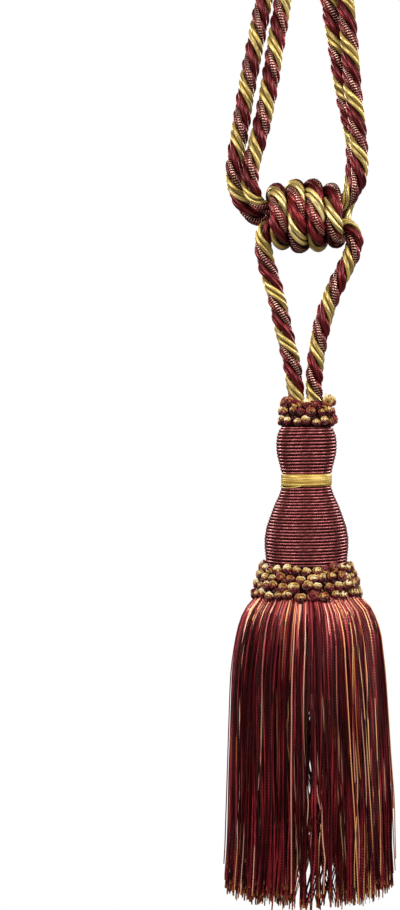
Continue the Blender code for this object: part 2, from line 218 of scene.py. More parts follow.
def yarnFinish(name, look):
    # tone picks the dye, around and along carry the twist of the fibres
    material = bpy.data.materials.new(name)
    material.use_nodes = True
    nodes, link = material.node_tree.nodes, material.node_tree.links.new
    shader = nodes["Principled BSDF"]

    def attribute(label):
        node = nodes.new("ShaderNodeAttribute")
        node.attribute_name = label
        return node

    along = attribute("along").outputs["Fac"]
    around = attribute("around").outputs["Vector"]
    split = nodes.new("ShaderNodeSeparateXYZ")
    link(around, split.inputs[0])
    angle = mathNode(nodes, link, "ARCTAN2", split.outputs["Y"], split.outputs["X"])
    turned = mathNode(nodes, link, "MULTIPLY", along, fullTurn / (look["twist"] * mm))
    turned = mathNode(nodes, link, "ADD", angle, turned)
    wave = mathNode(nodes, link, "SINE", mathNode(nodes, link, "MULTIPLY", turned, look["plies"]))
    twistHeight = mathNode(nodes, link, "MULTIPLY_ADD", wave, 0.5)
    twistHeight.node.inputs[2].default_value = 0.5

    grain = nodes.new("ShaderNodeCombineXYZ")       # fine filaments, long along the yarn
    link(mathNode(nodes, link, "MULTIPLY", mathNode(nodes, link, "COSINE", turned), look["fibres"]),
         grain.inputs[0])
    link(mathNode(nodes, link, "MULTIPLY", mathNode(nodes, link, "SINE", turned), look["fibres"]),
         grain.inputs[1])
    link(mathNode(nodes, link, "MULTIPLY", along, 1.0 / (look["fibreLength"] * mm)), grain.inputs[2])
    fibres = nodes.new("ShaderNodeTexNoise")
    fibres.inputs["Scale"].default_value = 1.0
    fibres.inputs["Detail"].default_value = look["detail"]
    link(grain.outputs[0], fibres.inputs["Vector"])

    tone = attribute("tone").outputs["Fac"]
    spread = mathNode(nodes, link, "MULTIPLY_ADD", fibres.outputs["Fac"], look["streaks"])
    link(tone, spread.node.inputs[2])
    dyed = rampNode(nodes, link, mathNode(nodes, link, "SUBTRACT", spread, look["streaks"] * 0.5),
                    look["dyes"])
    # painted shade: the colour is darkened in the grooves of the twist
    grooveShadeMix = nodes.new("ShaderNodeMix")
    grooveShadeMix.data_type = "RGBA"
    grooveShadeMix.blend_type = "MULTIPLY"
    grooveShadeMix.inputs["Factor"].default_value = look["grooveShade"]
    link(dyed, grooveShadeMix.inputs["A"])
    link(rampNode(nodes, link, twistHeight, look["grooveShadeRamp"]), grooveShadeMix.inputs["B"])
    colour = grooveShadeMix.outputs["Result"]
    height = mathNode(nodes, link, "MULTIPLY_ADD", fibres.outputs["Fac"], look["fibreRelief"])
    link(mathNode(nodes, link, "MULTIPLY", twistHeight, look["twistRelief"]), height.node.inputs[2])

    if "wraps" in look:                             # fine thread wound round the yarn
        wraps = look["wraps"]
        pace = mathNode(nodes, link, "MULTIPLY", along, fullTurn / (wraps["pitch"] * mm))
        pace = mathNode(nodes, link, "ADD", pace, angle)
        rung = mathNode(nodes, link, "MULTIPLY_ADD", mathNode(nodes, link, "SINE", pace), 0.5)
        rung.node.inputs[2].default_value = 0.5
        patch = nodes.new("ShaderNodeTexNoise")
        patch.inputs["Scale"].default_value = wraps["patchScale"]
        link(grain.outputs[0], patch.inputs["Vector"])
        shown = mathNode(nodes, link, "MULTIPLY", rung, patch.outputs["Fac"])
        mask = rampNode(nodes, link, shown, [(wraps["low"], (0, 0, 0)), (wraps["high"], (1, 1, 1))])
        wrapped = attribute("wrapped").outputs["Fac"]
        mask = mathNode(nodes, link, "MULTIPLY", mask, wrapped)
        rung = mathNode(nodes, link, "MULTIPLY", rung, wrapped)
        ground = nodes.new("ShaderNodeMix")
        ground.data_type = "RGBA"
        link(mathNode(nodes, link, "MULTIPLY", wrapped, wraps["shade"]), ground.inputs["Factor"])
        link(colour, ground.inputs["A"])
        ground.inputs["B"].default_value = (*look["dyes"][0][1], 1.0)
        over = nodes.new("ShaderNodeMix")
        over.data_type = "RGBA"
        link(mask, over.inputs["Factor"])
        link(ground.outputs["Result"], over.inputs["A"])
        over.inputs["B"].default_value = (*wraps["colour"], 1.0)
        colour = over.outputs["Result"]
        raised = mathNode(nodes, link, "MULTIPLY_ADD", rung, wraps["relief"])
        link(height, raised.node.inputs[2])
        height = raised

    if "tip" in look:                               # the cut end, opened and paler
        share = attribute("share").outputs["Fac"]
        nearTip = rampNode(nodes, link, share, [(look["tip"]["from"], (0, 0, 0)), (1.0, (1, 1, 1))])
        over = nodes.new("ShaderNodeMix")
        over.data_type = "RGBA"
        link(nearTip, over.inputs["Factor"])
        link(colour, over.inputs["A"])
        over.inputs["B"].default_value = (*look["tip"]["colour"], 1.0)
        colour = over.outputs["Result"]

    bump = nodes.new("ShaderNodeBump")
    bump.inputs["Strength"].default_value = look["bump"]
    bump.inputs["Distance"].default_value = look["relief"] * mm
    link(height, bump.inputs["Height"])
    link(bump.outputs["Normal"], shader.inputs["Normal"])
    link(colour, shader.inputs["Base Color"])
    shader.inputs["Roughness"].default_value = look["roughness"]
    shader.inputs["Metallic"].default_value = look["lustre"]
    shader.inputs["Specular IOR Level"].default_value = look["specular"]
    shader.inputs["IOR"].default_value = look["ior"]
    shader.inputs["Specular Tint"].default_value = (*look["glint"], 1.0)
    shader.inputs["Sheen Weight"].default_value = look["sheen"]
    shader.inputs["Sheen Roughness"].default_value = look["sheenRoughness"]
    shader.inputs["Sheen Tint"].default_value = (*look["glint"], 1.0)
    return material


plainYarn = {
    "twist": 4.0, "plies": 2, "fibres": 2.5, "fibreLength": 5.0, "detail": 2.0, "streaks": 0.5,
    "grooveShade": 0.35, "fibreRelief": 0.6, "twistRelief": 0.5, "bump": 0.6, "relief": 0.15,
    "roughness": 0.42, "specular": 0.55, "sheen": 0.04, "sheenRoughness": 0.35,
    "glint": (1.0, 0.85, 0.8), "lustre": 0.0, "ior": 1.5,
    "grooveShadeRamp": [(0.0, (0.12, 0.1, 0.1)), (0.6, (1.0, 1.0, 1.0))],
}

winePly = yarnFinish("winePly", {
    **plainYarn, "twist": 30.0, "plies": 3, "fibres": 6.0, "fibreLength": 12.0,
    "streaks": 1.3, "grooveShade": 0.7, "roughness": 0.35, "specular": 0.45, "lustre": 0.45,
    "glint": (1.0, 0.46, 0.44),
    "dyes": [(0.0, (0.008, 0.0005, 0.0009)), (0.5, (0.08, 0.0045, 0.0065)),
             (1.0, (0.38, 0.032, 0.036))],
    "wraps": {"pitch": 1.3, "patchScale": 1.6, "low": 0.44, "high": 0.55, "shade": 0.55,
              "colour": (1.0, 0.62, 0.45), "relief": 0.6}})

goldPly = yarnFinish("goldPly", {
    **plainYarn, "twist": 30.0, "plies": 2, "fibres": 6.0, "fibreLength": 12.0,
    "streaks": 1.2, "grooveShade": 0.7, "roughness": 0.33, "specular": 0.7, "lustre": 0.4,
    "glint": (1.0, 0.94, 0.76),
    "dyes": [(0.0, (0.07, 0.033, 0.005)), (0.5, (0.45, 0.305, 0.07)), (1.0, (0.98, 0.82, 0.39))]})


def flossFinish(name, look):
    # silk floss laid side by side: long fine streaks, softly shining
    material = bpy.data.materials.new(name)
    material.use_nodes = True
    nodes, link = material.node_tree.nodes, material.node_tree.links.new
    shader = nodes["Principled BSDF"]
    place = nodes.new("ShaderNodeTexCoord")
    stretch = nodes.new("ShaderNodeMapping")
    stretch.inputs["Scale"].default_value = (*[look["along"] / mm] * 2, look["across"] / mm)
    link(place.outputs["Object"], stretch.inputs["Vector"])
    streaks = nodes.new("ShaderNodeTexNoise")
    streaks.inputs["Scale"].default_value = 1.0
    streaks.inputs["Detail"].default_value = look["detail"]
    link(stretch.outputs[0], streaks.inputs["Vector"])
    link(rampNode(nodes, link, streaks.outputs["Fac"], look["dyes"]), shader.inputs["Base Color"])
    bump = nodes.new("ShaderNodeBump")
    bump.inputs["Strength"].default_value = look["bump"]
    bump.inputs["Distance"].default_value = look["relief"] * mm
    link(streaks.outputs["Fac"], bump.inputs["Height"])
    link(bump.outputs["Normal"], shader.inputs["Normal"])
    shader.inputs["Roughness"].default_value = look["roughness"]
    shader.inputs["Metallic"].default_value = look["lustre"]
    shader.inputs["Specular IOR Level"].default_value = look["specular"]
    return material


# rope: one length, looped, knotted and brought back to the head

rope = {
    "diameter": 9.3, "lay": 27.0, "spacing": 1.5, "sides": 8, "plyOffset": 2.6,
    "tones": (0.35, 0.65), "strayWraps": 0.2, "seed": 3,
    "coilPaintedLight": 0.24, "coilLightFrom": 8.0, "coilLightEase": 5.0,      # painted light: paler on the coil, to offset the shade between its turns
    # yarns: the radius of each; face and roll: where they lie round their ply, in turns
    "plies": [
        {"yarnOffset": 1.58, "yarns": (1.22, 1.22, 1.22), "finish": 1, "face": 0.5, "roll": 0.0},
        {"yarnOffset": 1.3, "yarns": (1.42, 1.26, 1.26), "finish": 0, "face": 0.0, "roll": 0.26},
        {"yarnOffset": 1.3, "yarns": (1.42, 1.26, 1.26), "finish": 0, "face": 0.0, "roll": 0.26},
    ],
    "coil": {
        "pitch": 9.5, "startX": -16.0, "centreZ": -127.2, "radius": 14.7, "endDrop": 3.0,
        "middleX": -1.3, "halfWidth": 15.4, "endShape": 2.2, "lean": 1.8, "tightness": 1.03,
        "first": -0.25, "last": 7.5, "points": 8,       # half turns, and points for each
    },
    "outerLoop": {"x": -0.4, "z": -4.4, "half": 20.4, "rise": 19.4, "y0": -2.6, "y1": 1.6,
                  "first": 18.0, "points": 7},
    "innerLoop": {"x": 0.15, "z": -6.5, "half": 11.0, "rise": 11.15, "y0": 1.8, "y1": -1.8,
                  "first": 25.0, "points": 5},
    # the other stretches: x, y (negative is the front), z and tightness; millimetres
    "leftLeg": [
        (-4.8, -0.6, -238.0, 0.93), (-5.0, -0.8, -227.0, 0.95),
        (-6.4, -0.9, -214.5, 0.98), (-7.9, 0.0, -204.5, 1.0),
        (-10.3, 0.0, -194.5, 1.0), (-13.0, 0.0, -183.0, 1.0),
        (-15.5, 0.0, -171.5, 1.0), (-18.8, 0.0, -160.0, 1.0),
        (-21.5, 0.0, -151.0, 1.0), (-22.7, -1.0, -143.0, 1.0),
        (-22.3, -2.0, -136.5, 0.95), (-19.6, -1.5, -132.0, 0.78)],
    "coreLeftToRight": [
        (-15.5, -0.3, -130.6, 0.64), (-8.8, -3.6, -129.5, 0.7),
        (-1.1, -4.6, -127.5, 0.76), (6.6, -3.6, -125.3, 0.7),
        (13.6, -0.6, -123.4, 0.64)],
    "rightFront": [
        (19.2, -1.8, -121.4, 0.7), (22.9, -3.4, -117.3, 0.9),
        (26.2, -4.8, -110.8, 1.0), (27.8, -5.4, -102.5, 1.0),
        (27.5, -5.5, -92.0, 1.0), (26.3, -5.2, -78.5, 1.0),
        (24.6, -4.6, -64.0, 1.0), (22.6, -3.8, -38.5, 1.0),
        (20.6, -3.4, -15.0, 1.0), (19.7, -2.9, -4.8, 1.0)],
    "leftOuter": [
        (-21.0, 2.0, -5.0, 1.0), (-22.8, 2.2, -15.0, 1.0),
        (-27.0, 2.6, -36.0, 1.0), (-31.9, 2.9, -61.0, 1.0),
        (-34.9, 3.0, -80.0, 1.0), (-37.3, 3.2, -94.5, 1.0),
        (-38.2, 3.6, -105.0, 1.0), (-36.6, 4.6, -114.0, 1.0),
        (-32.6, 6.4, -120.8, 1.0), (-28.3, 9.2, -125.3, 1.0),
        (-23.6, 11.4, -126.9, 1.0), (-19.7, 11.6, -123.8, 0.97)],
    "rightBack": [
        (20.6, 11.0, -120.4, 0.97), (23.6, 9.6, -114.0, 0.99),
        (25.0, 7.2, -106.0, 1.0), (25.6, 5.8, -97.0, 1.0),
        (25.1, 5.3, -86.5, 1.0), (23.1, 5.2, -76.0, 1.0),
        (20.4, 5.2, -64.2, 1.0), (16.2, 4.2, -38.8, 1.0),
        (12.4, 3.0, -15.0, 1.0), (11.3, 2.4, -7.6, 1.0)],
    "leftInner": [
        (-11.1, -1.9, -7.6, 1.0), (-12.4, -2.2, -15.0, 1.0),
        (-16.2, -2.6, -37.8, 1.0), (-20.4, -2.8, -64.2, 1.0),
        (-23.9, -3.0, -81.2, 1.0), (-27.0, -3.3, -93.0, 1.0),
        (-29.2, -3.5, -101.4, 1.0), (-29.9, -3.6, -108.3, 1.0),
        (-28.8, -3.4, -114.3, 0.97), (-26.3, -2.4, -119.8, 0.9)],
    "coreToRightLeg": [
        (-21.5, -0.9, -122.8, 0.74), (-15.5, 0.5, -123.6, 0.64),
        (-8.8, 3.6, -125.2, 0.7), (-1.1, 4.6, -127.0, 0.76),
        (6.6, 3.6, -128.9, 0.7), (13.6, 0.6, -130.6, 0.64)],
    "rightLeg": [
        (18.8, -0.2, -131.4, 0.72), (22.6, -1.4, -133.4, 0.84),
        (25.0, -1.8, -137.6, 0.97), (25.0, -1.0, -143.4, 1.0),
        (22.2, 0.0, -151.0, 1.0), (17.4, 0.0, -160.5, 1.0),
        (12.6, 0.0, -171.0, 1.0), (8.8, 0.0, -182.5, 1.0),
        (6.2, 0.0, -194.5, 1.0), (4.6, 0.2, -206.5, 0.97),
        (4.0, 0.9, -217.5, 0.95), (4.2, 0.9, -227.0, 0.94),
        (5.0, 0.6, -238.0, 0.93)],
}


def overHook(loop):
    points = []
    for i in range(loop["points"]):
        share = i / (loop["points"] - 1)
        angle = math.radians(loop["first"] + share * (180.0 - 2.0 * loop["first"]))
        points.append((loop["x"] + loop["half"] * math.cos(angle),
                       loop["y0"] + share * (loop["y1"] - loop["y0"]),
                       loop["z"] + loop["rise"] * math.sin(angle), 1.0))
    return points


def coilTurns(coil):
    points = []
    for i in range(round((coil["last"] - coil["first"]) * coil["points"]) + 1):
        turn = math.pi * (coil["first"] + i / coil["points"])
        x = coil["startX"] + coil["pitch"] * turn / fullTurn
        x -= coil["lean"] * (1.0 - math.cos(turn)) / 2.0
        aside = min(1.0, abs(x - coil["middleX"]) / coil["halfWidth"])
        radius = coil["radius"] - coil["endDrop"] * aside ** coil["endShape"]
        points.append((x, -radius * math.sin(turn),
                       coil["centreZ"] + radius * math.cos(turn), coil["tightness"]))
    return points


def smoothLine(points, spacing, spanSteps=20):
    # an even walk along a smooth curve through the points; every column is carried
    knots = np.array(points, float)
    spans = np.linalg.norm(np.diff(knots[:, :3], axis=0), axis=1) ** 0.5
    slopes = np.diff(knots, axis=0) / spans[:, None]
    weight = (spans[1:] / (spans[1:] + spans[:-1]))[:, None]
    inner = slopes[:-1] * weight + slopes[1:] * (1.0 - weight)
    tangents = np.vstack((slopes[:1], inner, slopes[-1:]))
    dense = []
    for i, span in enumerate(spans):
        for part in np.linspace(0.0, 1.0, spanSteps, endpoint=False):
            dense.append((2 * part**3 - 3 * part**2 + 1) * knots[i]
                         + (part**3 - 2 * part**2 + part) * span * tangents[i]
                         + (3 * part**2 - 2 * part**3) * knots[i + 1]
                         + (part**3 - part**2) * span * tangents[i + 1])
    dense = np.array(dense + [knots[-1]])
    lengths = np.linalg.norm(np.diff(dense[:, :3], axis=0), axis=1)
    way = np.concatenate(([0.0], np.cumsum(lengths)))
    stations = np.linspace(0.0, way[-1], round(way[-1] / spacing) + 1)
    return np.column_stack([np.interp(stations, way, column) for column in dense.T]), stations


def unit(rows):
    return rows / np.linalg.norm(rows, axis=1)[:, None]


# each stretch of the rope: its points, the turn of the gold ply along it (in turns, evenly
# spaced) and which ply is wrapped in fine thread: the third (0), the second (1) or both half
def ropeStretches():
    return [
        (rope["leftLeg"], (-0.37,), 0.0), (rope["coreLeftToRight"], (-0.31,), 0.5),
        (rope["rightFront"], (-0.26,), 1.0), (overHook(rope["outerLoop"]), (-0.35,), 0.5),
        (rope["leftOuter"], (-0.44, -0.44, -0.44, -0.3), 0.0),
        (coilTurns(rope["coil"]), (-0.1, 0.0, 0.03, 0.03, -0.08, -0.04, 0.42, 0.45), 1.0),
        (rope["rightBack"], (0.76,), 0.0), (overHook(rope["innerLoop"]), (0.63,), 0.5),
        (rope["leftInner"], (0.5,), 1.0), (rope["coreToRightLeg"], (0.35,), 0.5),
        (rope["rightLeg"], (0.29, 0.21, 0.13, 0.05, -0.06), 0.0)]


def buildRope():
    route = []
    for points, turns, swap in ropeStretches():
        places = np.linspace(0.0, len(points) - 1.0, len(turns))
        for i, point in enumerate(points):
            route.append((*point, np.interp(i, places, turns), swap))
    line, way = smoothLine(route, rope["spacing"])
    centre, tight = line[:, :3], line[:, 3:4]
    shift, swap = line[:, 4], np.clip(line[:, 5], 0.0, 1.0)
    tangent = unit(np.gradient(centre, axis=0))
    side = np.empty_like(centre)
    side[0] = (0.0, -1.0, 0.0)
    for i in range(len(centre)):
        carried = side[max(i - 1, 0)]
        carried = carried - tangent[i] * carried.dot(tangent[i])
        side[i] = carried / np.linalg.norm(carried)
    other = np.cross(tangent, side)
    strands = []
    chance = random.Random(rope["seed"])
    wrapShare = [np.zeros(len(way)), swap, 1.0 - swap]
    # painted light: the coil lies far in front of and behind the axis and takes a paler tone there,
    # to offset the shade between its turns
    offAxis = (np.abs(centre[:, 1]) - rope["coilLightFrom"]) / rope["coilLightEase"]
    coilPaintedLight = rope["coilPaintedLight"] * np.clip(offAxis, 0.0, 1.0)
    for number, ply in enumerate(rope["plies"]):        # gold first, then the two of wine
        turn = (shift + number / len(rope["plies"]) - way / rope["lay"]) * fullTurn
        outward = side * np.cos(turn)[:, None] + other * np.sin(turn)[:, None]
        plyLine = centre + outward * rope["plyOffset"] * tight
        plyTangent = unit(np.gradient(plyLine, axis=0))
        across = np.cross(plyTangent, outward)
        aside = (outward * np.cross(tangent, (0.0, -1.0, 0.0))).sum(axis=1)
        for lead, yarn in enumerate(ply["yarns"]):
            swing = fullTurn * (ply["face"] + lead / len(ply["yarns"]) - ply["roll"] * aside)
            offset = outward * np.cos(swing)[:, None] + across * np.sin(swing)[:, None]
            points = plyLine + offset * ply["yarnOffset"] * tight
            # painted shade: the gold ply's inner yarn, seen in the gap between the two outer ones,
            # takes the darkest tone
            tone = chance.uniform(*rope["tones"]) if lead or number else 0.0
            strands.append({
                "points": points * mm, "thick": yarn * tight[:, 0] * mm,
                "tone": tone + coilPaintedLight, "finish": ply["finish"],
                "wrapped": wrapShare[number] * (rope["strayWraps"] if lead else 1.0)})
    piece = sweepStrands("tieRope", strands, rope["sides"], [winePly, goldPly])
    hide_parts("tie_rope")


buildRope()
tell("rope laid, looped and knotted")


# wound head: a turned core under burgundy cord

woundHead = {
    "outline": [(12.6, -238.4), (14.4, -239.8), (15.7, -243.0), (16.2, -247.0), (16.1, -251.0),
                (15.7, -253.8), (14.8, -257.2), (14.0, -260.2), (13.5, -262.8)],
    "lowerOutline": [(13.2, -270.2), (14.8, -275.0), (17.2, -280.0), (19.4, -285.9),
                     (21.4, -291.6), (22.4, -297.5), (22.4, -302.5), (21.9, -307.0),
                     (21.7, -311.0)],
    "neck": [(12.2, -263.6), (12.2, -269.4)],
    "top": [(7.8, -229.6), (10.4, -230.6), (11.2, -232.4), (11.6, -238.0)],
    "below": [(21.0, -312.0), (21.0, -328.6)],
    "plug": [(3.0, -225.4), (8.6, -225.6), (10.2, -226.6), (10.9, -229.0), (10.9, -236.0)],
    "sink": 0.78, "filled": 0.32,       # how deep the core lies, bare and under the winding
    "bowlPitch": 1.76, "bellPitch": 1.65, "steps": 72, "cord": 0.6, "sides": 8,
    "waves": 4, "waveRates": (0.3, 2.3), "uneven": 0.05, "coreSides": 96,
}

windingYarn = yarnFinish("windingYarn", {
    **plainYarn, "twist": 5.2, "plies": 2, "fibres": 0.5, "fibreLength": 24.0, "streaks": 0.7,
    "grooveShade": 0.1, "roughness": 0.29, "specular": 0.8, "ior": 1.7, "twistRelief": 0.01,
    "fibreRelief": 0.02, "bump": 0.08, "lustre": 0.55, "sheen": 0.0, "glint": (1.0, 0.62, 0.58),
    "dyes": [(0.0, (0.05, 0.004, 0.005)), (0.5, (0.185, 0.028, 0.03)),
             (1.0, (0.62, 0.23, 0.22))]})

# painted shade: a near-black core under the winding and the ruffs, seen in the gaps between cords
# and between knots
paintedShadeCore = yarnFinish("paintedShadeCore", {
    **plainYarn, "twist": 6.0, "plies": 3, "roughness": 0.9, "specular": 0.05,
    "dyes": [(0.0, (0.009, 0.0006, 0.0009)), (1.0, (0.022, 0.0015, 0.0025))]})

plugFloss = flossFinish("plugFloss", {
    "along": 0.5, "across": 0.5, "detail": 3.0, "bump": 0.6, "relief": 0.3, "roughness": 0.6,
    "lustre": 0.0, "specular": 0.3,
    "dyes": [(0.35, (0.02, 0.001, 0.002)), (0.65, (0.14, 0.012, 0.018))]})


def onAxis(angle, radius, z):
    # angle 0 faces the front and grows to the right
    return np.column_stack((radius * np.sin(angle), -radius * np.cos(angle), z))


def windOn(outline, pitch, seed):
    # one cord wound from the top of the outline down, starting behind, a little uneven
    rows = np.array(outline, float)
    lengths = np.linalg.norm(np.diff(rows, axis=0), axis=1)
    way = np.concatenate(([0.0], np.cumsum(lengths)))
    down = np.linspace(0.0, way[-1], int(way[-1] / pitch * woundHead["steps"]))
    chance = random.Random(seed)
    waves = [(chance.uniform(*woundHead["waveRates"]), chance.uniform(0.0, fullTurn))
             for _ in range(woundHead["waves"])]
    angle = math.pi - down / pitch * fullTurn
    uneven = sum(np.sin(angle * rate + offset) for rate, offset in waves) / len(waves)
    place = down + uneven * woundHead["uneven"] * pitch
    radius = np.interp(place, way, rows[:, 0]) - woundHead["cord"]
    z = np.interp(place, way, rows[:, 1])
    return onAxis(angle, radius, z)


def buildHead():
    stretches = (("top", "sink"), ("outline", "filled"), ("neck", "sink"),
                 ("lowerOutline", "filled"), ("below", "sink"))
    sunk = [(radius - woundHead[depth], z)
            for rows, depth in stretches for radius, z in woundHead[rows]]
    core = turnedPiece("headCore", sunk, woundHead["coreSides"], paintedShadeCore)
    plug = turnedPiece("headPlug", woundHead["plug"], woundHead["coreSides"], plugFloss)
    cords = []
    for seed, (rows, pitch) in enumerate((("outline", "bowlPitch"), ("lowerOutline", "bellPitch"))):
        points = windOn(woundHead[rows], woundHead[pitch], seed)
        cords.append({"points": points * mm, "thick": woundHead["cord"] * mm, "tone": 0.5})
    winding = sweepStrands("headWinding", cords, woundHead["sides"], [windingYarn])
    for piece in (core, plug, winding):
        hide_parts("wound_head")


buildHead()
tell("head wound")


# waist band: gold thread wound over the neck

waistBand = {
    "outline": [(12.1, -263.1), (12.9, -263.2), (13.4, -263.9), (13.45, -265.6), (13.4, -267.4),
                (13.35, -269.0), (12.9, -269.8), (12.1, -269.9)],
    # radius, height, thickness and tone of each turn that stands out
    "threads": [(13.1, -264.6, 0.42, 0.4), (13.18, -265.9, 0.42, 0.7), (13.14, -267.2, 0.42, 0.3),
                (13.04, -268.5, 0.42, 0.65)],
    "sway": [(0.22, 2.0, 1.9), (0.1, 5.0, 1.0)],        # size, waves a turn and shift a thread
    "slipped": {"from": -1.9, "reach": 1.7, "radius": 13.3, "out": 0.35, "z": -269.3,
                "drop": 1.3, "shape": 0.8, "thick": 0.3, "tone": 0.6, "points": 18},
    "points": 120, "sides": 6, "flossSides": 96,
}

bandFloss = flossFinish("bandFloss", {
    "along": 0.07, "across": 1.3, "detail": 3.0, "bump": 0.5, "relief": 0.2, "roughness": 0.45,
    "lustre": 0.35, "specular": 0.3,
    "dyes": [(0.3, (0.13, 0.055, 0.008)), (0.5, (0.38, 0.23, 0.042)), (0.68, (0.68, 0.49, 0.15))]})

bandThread = yarnFinish("bandThread", {
    **plainYarn, "twist": 40.0, "plies": 2, "fibres": 0.7, "fibreLength": 14.0, "streaks": 1.2,
    "fibreRelief": 0.1, "twistRelief": 0.05, "bump": 0.12, "grooveShade": 0.1,
    "roughness": 0.42, "specular": 0.35, "lustre": 0.4, "glint": (1.0, 0.92, 0.7),
    "dyes": [(0.0, (0.18, 0.085, 0.01)), (0.5, (0.44, 0.28, 0.055)), (1.0, (0.78, 0.6, 0.2))]})


def buildBand():
    floss = turnedPiece("waistFloss", waistBand["outline"], waistBand["flossSides"], bandFloss,
                        closed=True)
    around = np.linspace(-math.pi, math.pi, waistBand["points"])
    threads = []
    for number, (radius, z, thick, tone) in enumerate(waistBand["threads"]):
        height = z + sum(size * np.sin(around * rate + number * shift)
                         for size, rate, shift in waistBand["sway"])
        threads.append({"points": onAxis(around, radius, height) * mm, "thick": thick * mm,
                        "tone": tone})
    slip = waistBand["slipped"]                     # one turn has slipped down at the left
    share = np.linspace(0.0, 1.0, slip["points"])
    bow = np.sin(share * math.pi)
    points = onAxis(slip["from"] + slip["reach"] * share, slip["radius"] + slip["out"] * bow,
                    slip["z"] - slip["drop"] * bow ** slip["shape"])
    threads.append({"points": points * mm, "thick": slip["thick"] * mm, "tone": slip["tone"]})
    strands = sweepStrands("waistThreads", threads, waistBand["sides"], [bandThread])
    for piece in (floss, strands):
        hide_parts("waist_band")


buildBand()
tell("waist band wound")


# ruffs: rows of small thread knots on a core ring, whose near-black colour is painted shade between
# the knots

ruffs = {
    "knotPoints": 43, "leads": 3, "bights": 4, "sides": 5, "coreSides": 64,
    "thread": 0.21, "wide": 1.04, "high": 0.96, "dome": 0.42, "depth": 0.24,    # shares of a knot
    "blend": (-0.2, 0.25),                          # heights between which a knot's tone turns from dark below to pale above: two-tone yarn, partly painted light above and shade beneath
    "mottle": 0.16, "mottleRate": 2.2, "mottleTurn": 5.0,
    "seat": 1.0, "sizes": (0.84, 1.06), "lifts": (-0.3, 0.5), "heightSpread": 1.1,
    "angleSpread": 0.14, "topRowPaler": 0.15,
    # chance of the first range of tones, that range and the other one
    "upperTones": (0.76, (0.62, 0.98), (0.36, 0.56)),
    "lowerTones": (0.8, (0.0, 0.3), (0.35, 0.6)),
    "behindShadeTones": ((0.0, 0.1), (0.0, 0.25), (0.05, 0.5)),
    "behindShift": 0.25, "behindAngleSpread": 0.2, "behindHeightSpread": 0.6,
    # rows: radius, height and knot size; loops: angle, radius, height, size, roll and tones
    "top": {"name": "topRuff", "node": "top_ruff", "around": 16,
            "rows": [(13.2, -226.0, 2.8), (14.2, -230.8, 2.85), (14.2, -235.4, 2.8)],
            "behind": [(12.6, -228.4, 2.3), (13.2, -233.1, 2.3)],
            "core": [(10.4, -224.8), (12.2, -224.8), (13.2, -231.0), (13.2, -238.8),
                     (10.4, -238.8)],
            # larger loops that have worked out of the ruff
            "loops": [(0.98, 13.2, -224.2, 3.7, 0.4, (0.7, 0.9)),
                      (1.5, 13.6, -225.0, 3.0, 1.2, (0.4, 0.75)),
                      (1.32, 14.6, -234.6, 3.3, 2.0, (0.4, 0.5)),
                      (-0.75, 12.8, -224.8, 2.9, 0.1, (0.3, 0.5))],
            "seed": 11},
    "bottom": {"name": "bottomRuff", "node": "bottom_ruff", "around": 28,
               "rows": [(24.2, -312.4, 3.05), (25.8, -316.9, 3.1), (27.2, -321.2, 3.15),
                        (28.0, -325.8, 3.3)],
               "behind": [(23.8, -314.7, 2.5), (25.3, -319.1, 2.5), (26.4, -323.5, 2.6)],
               "core": [(22.2, -310.4), (23.2, -310.6), (26.2, -320.0), (26.8, -328.4),
                        (22.2, -328.4)],
               "seed": 12},
}

knotYarn = yarnFinish("knotYarn", {
    **plainYarn, "twist": 2.6, "plies": 3, "fibres": 1.6, "fibreLength": 4.0, "streaks": 0.3,
    "grooveShade": 0.75, "roughness": 0.44, "specular": 0.4, "glint": (1.0, 0.75, 0.6),
    "dyes": [(0.0, (0.02, 0.001, 0.003)), (0.22, (0.08, 0.004, 0.01)),
             (0.4, (0.18, 0.012, 0.024)), (0.55, (0.26, 0.065, 0.022)), (0.7, (0.38, 0.21, 0.045)),
             (0.88, (0.62, 0.42, 0.14)), (1.0, (0.88, 0.74, 0.45))]})


def threadKnot(angle, radius, z, size, roll, lift, tones):
    # a button of thread: the leads weave over and under round the bights, domed outwards
    walk = np.linspace(0.0, ruffs["leads"] * fullTurn, ruffs["knotPoints"])
    weave = ruffs["bights"] * walk / ruffs["leads"]
    reach = (2.0 + np.cos(weave)) / 3.0
    spread = size * (1.0 - ruffs["thread"])
    across = reach * np.cos(walk + roll) * spread * ruffs["wide"]
    up = reach * np.sin(walk + roll) * spread * ruffs["high"]
    out = size * (ruffs["dome"] * (1.0 - reach ** 2) + ruffs["depth"] * np.sin(weave))
    normal = np.array((math.sin(angle), -math.cos(angle), 0.0))
    right = np.array((math.cos(angle), math.sin(angle), 0.0))
    points = (normal * (radius + out + lift)[:, None] + right * across[:, None]
              + np.array((0.0, 0.0, 1.0)) * (z + up)[:, None])
    # two-tone yarn, partly painted light and shade: every knot paler above and darker beneath
    tone = np.interp(up / spread, ruffs["blend"], tones)
    mottle = np.sin(ruffs["mottleRate"] * walk + ruffs["mottleTurn"] * roll)
    tone = np.clip(tone + ruffs["mottle"] * mottle, 0.0, 1.0)
    return {"points": points * mm, "thick": size * ruffs["thread"] * mm, "tone": tone}


def pickTone(chance, pick, choice):
    share, often, seldom = choice
    return chance.uniform(*(often if pick < share else seldom))


def eitherWay(chance, size):
    return chance.uniform(-size, size)


